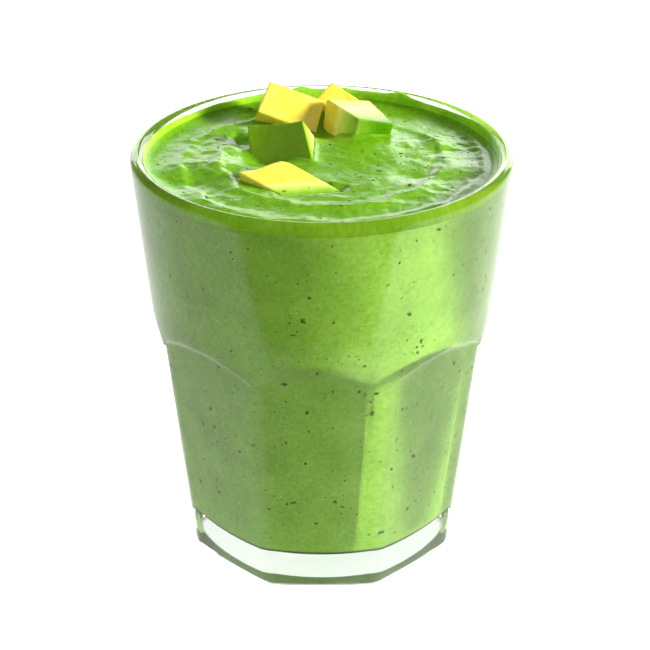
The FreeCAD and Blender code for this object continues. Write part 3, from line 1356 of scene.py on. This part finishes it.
    def on_wall(self, turn: np.ndarray, along: np.ndarray, proud: np.ndarray) -> np.ndarray:
        """Points on the inside of the glass.

        Args:
            turn: Angles round the axis.
            along: Distances up the wall from the drink's level, and on round the rim.
            proud: Distances from the glass towards the axis.

        Returns:
            Rows of x, y and z in millimetres.
        """
        s = self.sizes
        straight = s.roll_height - s.level
        bend = np.clip((along - straight) / s.roll, 0.0, math.pi * 0.75)
        height = s.level + np.minimum(along, straight)
        radius = np.where(
            along <= straight,
            s.bore_radius(height) - proud,
            s.rim_radius - s.roll - (s.roll + proud) * np.cos(bend),
        )
        height = np.where(along <= straight, height, s.roll_height + (s.roll + proud) * np.sin(bend))
        return np.stack([radius * np.cos(turn), radius * np.sin(turn), height], axis=-1)

    def build(self, avocado: list[str]) -> None:
        """Make the drink and its film.

        Args:
            avocado: Solids that stand in the drink.
        """
        self.body(avocado)
        self.film()


@dataclass
class Flecks:
    """Bits of leaf, peel and fibre and small bubbles, seen through the glass and on the surface."""

    sizes: TumblerSizes = SIZES
    surface: DrinkSurface = field(default_factory=DrinkSurface)
    proud: float = 0.2  # beyond the bore, just past the body of the drink
    sunk: float = 0.12  # middle of a bit, in from there
    thick: float = 0.3
    low: float = 12.0  # height of the lowest bits
    high_gap: float = 1.5  # none lie closer below the level
    out_from_middle: float = 0.92  # share of the open surface that has bits
    leaves: tuple[int, int] = (1300, 230)  # at the glass and on the surface
    longest_leaf: float = 1.6
    peels: tuple[int, int] = (70, 24)
    fibres: int = 260
    longest_fibre: float = 1.6
    fibre_width: float = 0.2
    fibre_sunk: float = 0.08
    bubbles: int = 90
    widest_bubble: float = 1.9
    bubble_painted_shade: float = 0.31  # share of the width painted dark in the middle as shade
    seed: int = 41

    def at_wall(
        self, draw: random.Random, size: tuple[float, float, float], sunk: float | None = None
    ) -> Matrix:
        """A place against the glass, with local Z outwards.

        Args:
            draw: Source of random numbers.
            size: Length, width and thickness in millimetres.
            sunk: How far the middle lies inside the outermost place, if not as usual.

        Returns:
            The place as a matrix, in metres.
        """
        s = self.sizes
        turn = draw.uniform(0.0, 2 * math.pi)
        height = draw.uniform(self.low, s.level - self.high_gap)
        radius = s.bore_radius(height) + self.proud - (self.sunk if sunk is None else sunk)
        spot = Vector((radius * math.cos(turn), radius * math.sin(turn), height)) * MM
        lean = math.atan(s.bore_slope)
        out = Vector((math.cos(turn) * math.cos(lean), math.sin(turn) * math.cos(lean), -math.sin(lean)))
        return self.facing(spot, out, draw.uniform(0.0, 2 * math.pi), size)

    def on_top(self, draw: random.Random, size: tuple[float, float, float]) -> Matrix:
        """A place on the open surface, with local Z along its normal.

        Args:
            draw: Source of random numbers.
            size: Length, width and thickness in millimetres.

        Returns:
            The place as a matrix, in metres.
        """
        radius = self.sizes.reach * math.sqrt(draw.uniform(0.0, self.out_from_middle))
        turn = draw.uniform(0.0, 2 * math.pi)
        x, y = radius * math.cos(turn), radius * math.sin(turn)
        step = 0.4
        xs = np.array([x, x + step, x])
        ys = np.array([y, y, y + step])
        z = self.surface.height(xs, ys)
        normal = Vector(((z[0] - z[1]) / step, (z[0] - z[2]) / step, 1.0)).normalized()
        spot = Vector((x, y, float(z[0]) + 0.02)) * MM
        return self.facing(spot, normal, draw.uniform(0.0, 2 * math.pi), size)

    @staticmethod
    def facing(spot: Vector, out: Vector, spin: float, size: tuple[float, float, float]) -> Matrix:
        """Matrix that sets a seed down.

        Args:
            spot: Its place, in metres.
            out: Direction of its local Z.
            spin: Its turn about that.
            size: Length, width and thickness in millimetres.

        Returns:
            The matrix, in metres.
        """
        frame_turn = out.to_track_quat("Z", "Y").to_matrix().to_4x4()
        scale = Matrix.Diagonal((*(value * MM for value in size), 1.0))
        return Matrix.Translation(spot) @ frame_turn @ Matrix.Rotation(spin, 4, "Z") @ scale

    @staticmethod
    def chip(name: str, ragged: float, layer: float) -> bpy.types.Object:
        """Model a small ragged chip of unit size, to be copied.

        Args:
            name: Name of the new object.
            ragged: How uneven it is.
            layer: Any number; each gives a shape of its own.

        Returns:
            The chip.
        """
        unselect()
        bpy.ops.mesh.primitive_ico_sphere_add(subdivisions=2, radius=0.5)
        obj = bpy.context.object
        obj.name = name
        points = read_points(obj.data)
        for point in points:
            point *= 1 + ragged * noise.noise(Vector(point * 3.0) + Vector((layer, 0.0, 0.0)))
        write_points(obj.data, points)
        return obj

    def leaf(self) -> bpy.types.Object:
        """Scatter dark green bits of leaf, most of them small.

        Returns:
            All of them in one piece.
        """
        draw = random.Random(self.seed)
        seed = self.chip("leaf_seed", 0.9, 4.0)
        seed.data.materials.append(Speck("leaf_fleck", "3d5a0c", "5f7c16").material())
        places = []
        at_glass, on_surface = self.leaves
        for _ in range(at_glass):
            length = min(self.longest_leaf, 0.24 + draw.expovariate(3.7))
            width = length * draw.uniform(0.4, 0.9)
            places.append(self.at_wall(draw, (length, width, self.thick)))
        for _ in range(on_surface):
            length = 0.25 + draw.expovariate(4.5)
            places.append(self.on_top(draw, (length, length * draw.uniform(0.4, 0.9), 0.16)))
        return scattered("leaf_flecks", seed, places)

    def peel(self) -> bpy.types.Object:
        """Scatter a few reddish-brown bits of peel.

        Returns:
            All of them in one piece.
        """
        draw = random.Random(self.seed + 1)
        seed = self.chip("peel_seed", 0.8, 9.0)
        seed.data.materials.append(Speck("peel_fleck", "6a2f08", "a8591a").material())
        places = []
        at_glass, on_surface = self.peels
        for _ in range(at_glass):
            length = 0.3 + draw.expovariate(4.0)
            places.append(self.at_wall(draw, (length, length * 0.7, self.thick)))
        for _ in range(on_surface):
            length = 0.25 + draw.expovariate(6.0)
            places.append(self.on_top(draw, (length, length * 0.7, 0.15)))
        return scattered("peel_flecks", seed, places)

    def fibre(self) -> bpy.types.Object:
        """Scatter pale short fibres.

        Returns:
            All of them in one piece.
        """
        draw = random.Random(self.seed + 2)
        seed = self.chip("fibre_seed", 0.3, 2.0)
        seed.data.materials.append(Speck("fibre", "a9d05c", "cfe59a").material())
        places = []
        for _ in range(self.fibres):
            length = min(self.longest_fibre, 0.35 + draw.expovariate(2.6))
            places.append(self.at_wall(draw, (length, self.fibre_width, self.fibre_width), self.fibre_sunk))
        return scattered("pale_fibres", seed, places)

    def bubble(self) -> bpy.types.Object:
        """Scatter small air bubbles that touch the glass, each with a painted dark shade in the middle and
        a painted highlight ring round it.

        Returns:
            All of them in one piece.
        """
        draw = random.Random(self.seed + 3)
        unselect()
        bpy.ops.mesh.primitive_uv_sphere_add(segments=20, ring_count=10, radius=0.5)
        seed = bpy.context.object
        # the dark middle of each bubble is painted shade, and the light ring round it a painted highlight
        seed.data.materials.append(Speck("bubble_painted_shade", "2c5a0c", "3d7212", roughness=0.25).material())
        seed.data.materials.append(Speck("bubble_painted_highlight", "9ccb55", "b9dd7c", roughness=0.4).material())
        for face in seed.data.polygons:
            face.material_index = int(face.center.xy.length > self.bubble_painted_shade)
        places = []
        for _ in range(self.bubbles):
            width = min(self.widest_bubble, 0.35 + draw.expovariate(3.0))
            places.append(self.at_wall(draw, (width, width * draw.uniform(0.85, 1.0), self.thick)))
        return scattered("small_bubbles", seed, places)

    def build(self) -> None:
        """Make every kind of bit, one joined piece for each."""
        for piece in (self.leaf(), self.peel(), self.fibre(), self.bubble()):
            hand_over(piece, Slot.DRINK)


# ---- avocado ----------------------------------------------------------------------------------------


@dataclass
class AvocadoPiece:
    """One cut piece, refined from its solid: softly worn edges and slightly uneven cut faces."""

    node: str
    finish: AvocadoFlesh
    voxel: float = 0.25
    edge_steps: int = 2
    uneven: float = 0.13
    uneven_size: float = 5.0
    close: float = 0.05
    close_size: float = 1.3

    def build(self) -> bpy.types.Object:
        """Refine and dress the piece.

        Returns:
            The finished piece.
        """
        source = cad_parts[self.node]
        obj = bpy.data.objects.new(self.node + "_cut", source.data.copy())
        obj.data.materials.clear()
        bpy.context.scene.collection.objects.link(obj)
        close_up(obj)
        remesh = obj.modifiers.new("even_skin", "REMESH")
        remesh.mode = "VOXEL"
        remesh.voxel_size = self.voxel * MM
        bpy.ops.object.modifier_apply(modifier=remesh.name)
        smooth = obj.modifiers.new("soft_edges", "SMOOTH")
        smooth.factor = 0.5
        smooth.iterations = self.edge_steps
        bpy.ops.object.modifier_apply(modifier=smooth.name)
        self.make_uneven(obj)
        bpy.ops.object.shade_smooth()
        obj.data.materials.append(self.finish.material())
        hand_over(obj, Slot.AVOCADO, self.node)
        return obj

    def make_uneven(self, obj: bpy.types.Object) -> None:
        """Push the skin in and out a little.

        Args:
            obj: The refined piece.
        """
        normals = np.empty(len(obj.data.vertices) * 3)
        obj.data.vertices.foreach_get("normal", normals)
        normals = normals.reshape(-1, 3)
        points = read_points(obj.data)
        lift = np.empty(len(points))
        for index, point in enumerate(points / MM):
            wide = noise.noise(Vector(point / self.uneven_size))
            close = noise.noise(Vector(point / self.close_size) + Vector((7.0, 0.0, 0.0)))
            lift[index] = self.uneven * wide + self.close * close
        write_points(obj.data, points + normals * (lift * MM)[:, None])


def avocado_pieces() -> list[AvocadoPiece]:
    """The five pieces, each with its own run of colour from flesh to skin side.

    Returns:
        The pieces, still to be built.
    """
    right = {"inside": "e6d234", "near": "e6ea7c", "rim": "b0d24c", "skin": "4c8604"}
    runs = {
        "avocado_back": ((0.3, 0.2, -0.9), -88.0, 60.0, {}),
        "avocado_skin_side": ((-0.359, -0.625, 0.693), 61.4, 6.2, {"skin": "76a20a"}),
        "avocado_right": ((0.60, -0.80, 0.0), -15.0, 12.0, right),
        "avocado_tip": ((-0.8, -0.4, -0.4), 0.0, 90.0, {}),
        "avocado_sunk": ((0.24, -0.97, 0.0), 11.5, 5.5, {}),
    }
    return [
        AvocadoPiece(node, AvocadoFlesh(f"{node}_flesh", towards_skin, start, width, **shades))
        for node, (towards_skin, start, width, shades) in runs.items()
    ]


# ---- studio -----------------------------------------------------------------------------------------


def lit_material(name: str, strength: float, attribute: str = "") -> bpy.types.Material:
    """A material that only gives off white light.

    Args:
        name: Name of the material.
        strength: How bright it is.
        attribute: The mesh's own attribute to take the brightness from instead, if there is one.

    Returns:
        The material.
    """
    material = bpy.data.materials.new(name)
    material.use_nodes = True
    nodes, links = material.node_tree.nodes, material.node_tree.links
    nodes.clear()
    glow = nodes.new("ShaderNodeEmission")
    glow.inputs["Strength"].default_value = strength
    if attribute:
        read = nodes.new("ShaderNodeAttribute")
        read.attribute_name = attribute
        links.new(read.outputs["Fac"], glow.inputs["Strength"])
    out = nodes.new("ShaderNodeOutputMaterial")
    links.new(glow.outputs[0], out.inputs["Surface"])
    return material


def only_in_reflections(obj: bpy.types.Object) -> None:
    """Let an object show in glossy reflections alone.

    Args:
        obj: The object.
    """
    obj.visible_camera = False
    obj.visible_diffuse = False
    obj.visible_transmission = False
    obj.visible_volume_scatter = False
    obj.visible_shadow = False


@dataclass
class Board:
    """A plain board that lies on the floor or stands up, seen in reflections unless told otherwise."""

    name: str
    corners: tuple[tuple[float, float, float], ...]  # in metres, in order round the board
    light: float

    def build(self) -> bpy.types.Object:
        """Place the board.

        Returns:
            The board.
        """
        unselect()
        bpy.ops.mesh.primitive_plane_add(size=1.0)
        board = bpy.context.object
        board.name = self.name
        order = (0, 1, 3, 2)  # as the new plane numbers its corners
        write_points(board.data, np.array([self.corners[index] for index in order]))
        board.data.materials.append(lit_material(self.name, self.light))
        only_in_reflections(board)
        return board


@dataclass(frozen=True)
class BackBoard:
    """A bright board that stands behind the drink: its sides, its top in metres and its brightness."""

    name: str
    left: float
    right: float
    high: float
    light: float


@dataclass(frozen=True)
class Lamp:
    """A square lamp that looks at the drink, in metres and watts."""

    name: str
    place: tuple[float, float, float]
    size: float
    power: float
    caustic: bool


@dataclass
class MirroredFloor:
    """The floor as the glass and the wet surface mirror it, in millimetres and degrees."""

    size: float = 1800.0
    cuts: int = 300
    soft: float = 5.0
    right_edge: tuple[float, float, float, float] = (66.0, -114.0, 0.41, 0.91)  # a point and the normal
    left_edge: tuple[float, float, float, float] = (-74.0, -109.0, -0.24, 0.97)
    near: float = 132.0
    near_soft: float = 16.0
    around: tuple[float, ...] = (-180, -60, -30, -10, 4, 12, 30, 60, 180)  # from the front, to the right
    brightness: tuple[float, ...] = (1.1, 1.2, 1.1, 0.4, 0.4, 1.0, 1.7, 1.7, 1.7)
    least: float = 0.02

    @staticmethod
    def past(x: np.ndarray, y: np.ndarray, edge: tuple[float, float, float, float]) -> np.ndarray:
        """How far places lie past a straight edge."""
        return (x - edge[0]) * edge[2] + (y - edge[1]) * edge[3]

    def light(self, x: np.ndarray, y: np.ndarray) -> np.ndarray:
        """Brightness of places on the floor.

        Args:
            x: Places along X.
            y: Places along Y.

        Returns:
            The brightness: high at the right, lower at the left, and dark in front past the near strip.
        """
        beside = np.where(x > 0.0, self.past(x, y, self.right_edge), self.past(x, y, self.left_edge))
        side = np.clip(0.5 + beside / (2 * self.soft), 0.0, 1.0)
        near = np.clip((self.near - np.hypot(x, y)) / self.near_soft, 0.0, 1.0)
        lit = np.interp(np.degrees(np.arctan2(x, -y)), self.around, self.brightness)
        return np.maximum(side, near) * lit + self.least

    def build(self, height: float) -> None:
        """Lay the floor.

        Args:
            height: Its height in metres.
        """
        unselect()
        bpy.ops.mesh.primitive_grid_add(
            x_subdivisions=self.cuts,
            y_subdivisions=self.cuts,
            size=self.size * MM,
            location=(0.0, 0.0, height),
        )
        ground = bpy.context.object
        ground.name = "mirrored_floor"
        flat = read_points(ground.data) / MM
        light = ground.data.attributes.new("light", "FLOAT", "POINT")
        light.data.foreach_set("value", self.light(flat[:, 0], flat[:, 1]).astype(np.float32))
        ground.data.materials.append(lit_material("mirrored_floor", 1.0, "light"))
        only_in_reflections(ground)


@dataclass
class Studio:
    """Pale floor, soft light and the camera, in metres and degrees."""

    floor_size: float = 6.0
    floor_gap: float = 0.0001
    floor_grey: float = 0.6
    floor_glow: float = 0.95
    under_hollow_painted_light: float = 1.9  # painted light: the floor glows brighter under the hollow of the foot
    under_radius: float = 0.0215
    foot_painted_shadow: float = 0.06  # painted shadow: and glows only faintly under the ring that stands on it
    foot_radius: float = 0.02925
    ramp_radius: float = 0.05
    back: float = 0.5
    back_foot: float = 0.06
    back_boards: tuple[BackBoard, ...] = (
        BackBoard("back_left_board", -0.34, -0.035, 0.31, 2.8),
        BackBoard("back_middle_board", -0.035, 0.055, 0.265, 3.2),
        BackBoard("back_right_board", 0.055, 0.42, 0.35, 4.0),
    )
    cloth: tuple[tuple[float, float], ...] = ((-0.02, -0.075), (-0.30, 0.15), (-0.9, 0.1), (-0.2, -0.8))
    lamps: tuple[Lamp, ...] = (
        Lamp("right_lamp", (0.78, -0.17, 0.34), 0.2, 20.0, True),
        Lamp("left_lamp", (-0.6, 0.35, 0.7), 0.7, 2.0, False),
    )
    lamp_aim: tuple[float, float, float] = (0.0, 0.0, 0.05)
    dim: float = 0.08
    bright: float = 0.85
    bright_side: tuple[float, float, float] = (0.95, 0.3, 0.0)
    bright_span: tuple[float, float] = (-0.8, 0.9)
    room_light: float = 1.0
    open_light: float = 0.29
    mirror_light: float = 0.05
    camera_place: tuple[float, float, float] = (0.0, -0.40949, 0.26228)
    camera_pitch: float = 63.102
    lens: float = 106.03
    shift: float = 0.0048

    def floor(self) -> None:
        """A wide pale floor, lit from below like a light table, just under the foot."""
        unselect()
        bpy.ops.mesh.primitive_plane_add(size=self.floor_size, location=(0.0, 0.0, -self.floor_gap))
        ground = bpy.context.object
        ground.name = "pale_floor"
        recipe = Recipe("pale_floor")
        grey = (self.floor_grey, self.floor_grey, self.floor_grey, 1.0)
        recipe.set(Base_Color=grey, Roughness=0.9, Specular_IOR_Level=0.0)
        recipe.set(Emission_Strength=self.under_hollow_painted_light)
        # painted light under the hollow of the foot, a painted shadow under its ring, and an even glow
        # beyond
        from_axis = recipe.figure("DIVIDE", self.from_middle(recipe), self.ramp_radius)
        steps = (
            (0.0, 1.0),
            (self.under_radius / self.ramp_radius, self.foot_painted_shadow),
            (self.foot_radius / self.ramp_radius, self.floor_glow / self.under_hollow_painted_light),
        )
        glow = recipe.ramp(from_axis, [(at, (share, share, share, 1.0)) for at, share in steps])
        glow.node.color_ramp.interpolation = "CONSTANT"
        recipe.give_off(glow)
        ground.data.materials.append(recipe.material)

    @staticmethod
    def from_middle(recipe: Recipe) -> Socket:
        """Distance from the middle of the floor.

        Args:
            recipe: The material under construction.

        Returns:
            The distance in metres.
        """
        length = recipe.add("ShaderNodeVectorMath", operation="LENGTH")
        recipe.join(recipe.place, length.inputs[0])
        return length.outputs["Value"]

    def boards(self) -> None:
        """Bright boards that the wet surface mirrors, and a dark cloth that shades the left."""
        for board in self.back_boards:
            corners = (
                (board.left, self.back, self.back_foot),
                (board.right, self.back, self.back_foot),
                (board.right, self.back, board.high),
                (board.left, self.back, board.high),
            )
            Board(board.name, corners, board.light).build().visible_transmission = True
        height = -self.floor_gap / 4
        cloth = Board("dark_cloth", tuple((x, y, height) for x, y in self.cloth), 0.0).build()
        cloth.visible_glossy = False
        cloth.visible_diffuse = True
        cloth.visible_transmission = True

    def add_lamps(self) -> None:
        """A hard-edged lamp at the right and a weaker, softer one from the left and behind."""
        for lamp in self.lamps:
            light = bpy.data.lights.new(lamp.name, "AREA")
            light.size = lamp.size
            light.energy = lamp.power
            light.cycles.is_caustics_light = lamp.caustic
            holder = bpy.data.objects.new(lamp.name, light)
            holder.location = lamp.place
            aim = Vector(self.lamp_aim) - Vector(lamp.place)
            holder.rotation_euler = aim.to_track_quat("-Z", "Y").to_euler()
            holder.visible_glossy = False
            bpy.context.scene.collection.objects.link(holder)

    def towards_light(self, tree: bpy.types.NodeTree) -> Socket:
        """Light of the room by direction, brighter towards the right.

        Args:
            tree: The world's nodes.

        Returns:
            The brightness.
        """
        way = tree.nodes.new("ShaderNodeTexCoord")
        towards = tree.nodes.new("ShaderNodeVectorMath")
        towards.operation = "DOT_PRODUCT"
        towards.inputs[1].default_value = self.bright_side
        tree.links.new(way.outputs["Generated"], towards.inputs[0])
        lit = tree.nodes.new("ShaderNodeMapRange")
        limits = (*self.bright_span, self.dim, self.bright)
        for name, value in zip(("From Min", "From Max", "To Min", "To Max"), limits):
            lit.inputs[name].default_value = value
        tree.links.new(towards.outputs["Value"], lit.inputs["Value"])
        return lit.outputs["Result"]

    def surroundings(self) -> None:
        """White all round, dimmer on open surfaces, and nearly dark where the glass would mirror it."""
        world = bpy.data.worlds.new("white_room")
        bpy.context.scene.world = world
        world.use_nodes = True
        nodes, links = world.node_tree.nodes, world.node_tree.links
        back = next(n for n in nodes if n.type == "BACKGROUND")
        ray = nodes.new("ShaderNodeLightPath")
        shade: Socket | None = None
        # a ray through glass also counts as glossy, so its own light comes last
        for output, strength in (
            ("Is Diffuse Ray", self.open_light),
            ("Is Glossy Ray", self.mirror_light),
            ("Is Transmission Ray", self.towards_light(world.node_tree)),
        ):
            mix = nodes.new("ShaderNodeMix")
            mix.data_type = "FLOAT"
            mix.inputs[2].default_value = self.room_light
            if shade is not None:
                links.new(shade, mix.inputs[2])
            if isinstance(strength, float):
                mix.inputs[3].default_value = strength
            else:
                links.new(strength, mix.inputs[3])
            links.new(ray.outputs[output], mix.inputs[0])
            shade = mix.outputs[0]
        links.new(shade, back.inputs["Strength"])
        back.inputs["Color"].default_value = (1.0, 1.0, 1.0, 1.0)

    def camera(self) -> None:
        """The camera, in front and a little above."""
        data = bpy.data.cameras.new("front_camera")
        data.lens = self.lens
        data.sensor_width = 36.0
        data.shift_x = self.shift
        data.clip_start = 0.01
        holder = bpy.data.objects.new("front_camera", data)
        holder.location = self.camera_place
        holder.rotation_euler = (math.radians(self.camera_pitch), 0.0, 0.0)
        bpy.context.scene.collection.objects.link(holder)
        bpy.context.scene.camera = holder

    def build(self) -> None:
        """Set everything round the object, with enough bounces for thick glass."""
        self.camera()
        self.floor()
        MirroredFloor().build(-self.floor_gap / 2)
        self.boards()
        self.add_lamps()
        self.surroundings()
        scene = bpy.context.scene
        scene.view_settings.view_transform = "Standard"
        scene.cycles.max_bounces = 16
        scene.cycles.transmission_bounces = 14
        scene.cycles.glossy_bounces = 8
        scene.cycles.diffuse_bounces = 5
        scene.cycles.caustics_refractive = True
        scene.cycles.caustics_reflective = False
        log.info("studio: %d lamps and %d boards", len(self.lamps), len(self.back_boards) + 1)


def main() -> None:
    """Build the object and the studio round it."""
    logging.basicConfig(level=logging.INFO, format="%(name)s %(message)s", stream=sys.stdout)
    Studio().build()
    Tumbler().build()
    pieces = avocado_pieces()
    Drink().build([piece.node for piece in pieces])
    Flecks().build()
    for piece in pieces:
        piece.build()


if __name__ == "__main__":
    main()
